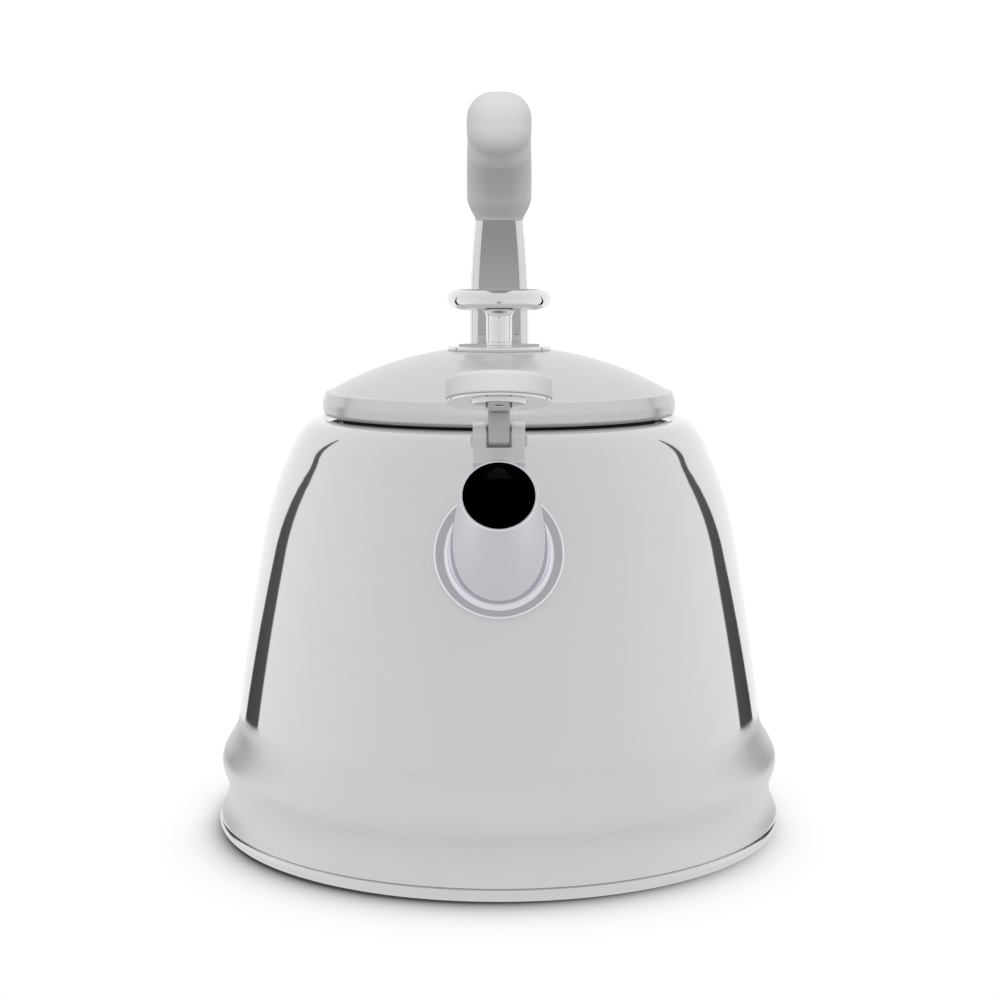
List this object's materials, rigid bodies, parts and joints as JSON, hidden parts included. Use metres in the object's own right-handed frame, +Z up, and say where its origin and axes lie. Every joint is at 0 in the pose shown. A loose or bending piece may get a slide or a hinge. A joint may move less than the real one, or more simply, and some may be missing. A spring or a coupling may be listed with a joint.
{
  "type": "stovetop whistling kettle",
  "caption": "Bell-shaped enamelled stovetop kettle with a short conical spout, a flip-up whistle, a lift-off domed lid with a disc knob, and an open arched handle rising behind the lid.",
  "frame": {"origin": "centre of the flat underside of the base, on the axis of the round body", "axes": "+Z up along the body's axis; -Y the way the spout points; the handle rises at +Y; +X to the right seen from in front of the spout"},
  "size_m": [0.1904, 0.2244, 0.242],
  "materials": {
    "enamel": "glossy vitreous enamel",
    "base_steel": "satin stainless steel",
    "polished_steel": "polished stainless steel",
    "chrome": "chrome plate",
    "plain_steel": "plain stainless steel",
    "lever_steel": "bead-blasted stainless steel",
    "aluminium": "rolled aluminium",
    "soft_touch": "soft-touch coated nylon",
    "nylon": "moulded nylon",
    "silicone": "grey silicone rubber"
  },
  "bodies": {
    "kettle": {"body_shell": "enamel", "base_pan": "base_steel", "base_capsule": "base_steel", "heat_spreader": "aluminium", "spout_tube": "polished_steel", "spout_seal": "silicone", "spout_collar": "polished_steel", "spout_inner_ring": "plain_steel", "whistle_bracket": "polished_steel", "whistle_pin": "plain_steel", "whistle_washers": "nylon", "handle_arm": "chrome", "grip_liner": "nylon", "handle_grip": "soft_touch", "handle_saddle": "chrome", "handle_seals": "silicone", "handle_screws": "plain_steel"},
    "lid": {"lid_shell": "enamel", "lid_locating_ring": "plain_steel", "lid_seal": "silicone", "knob_plate": "chrome", "knob_stem": "chrome", "knob_disc": "chrome", "knob_washer": "silicone", "knob_screw": "plain_steel"},
    "whistle": {"whistle_lever": "lever_steel", "whistle_cap": "soft_touch", "whistle_plate": "chrome", "whistle_sounding_disc": "plain_steel", "whistle_rivet": "plain_steel"}
  },
  "joints": [
    {"name": "lid_lift", "type": "slide", "parent": "kettle", "child": "lid", "axis": [0, 0, 1], "range_m": [0, 0.04]},
    {"name": "whistle_hinge", "type": "hinge", "parent": "kettle", "child": "whistle", "pos_m": [0, -0.097, 0.137], "axis": [1, 0, 0], "range_deg": [0, 71.6]}
  ]
}
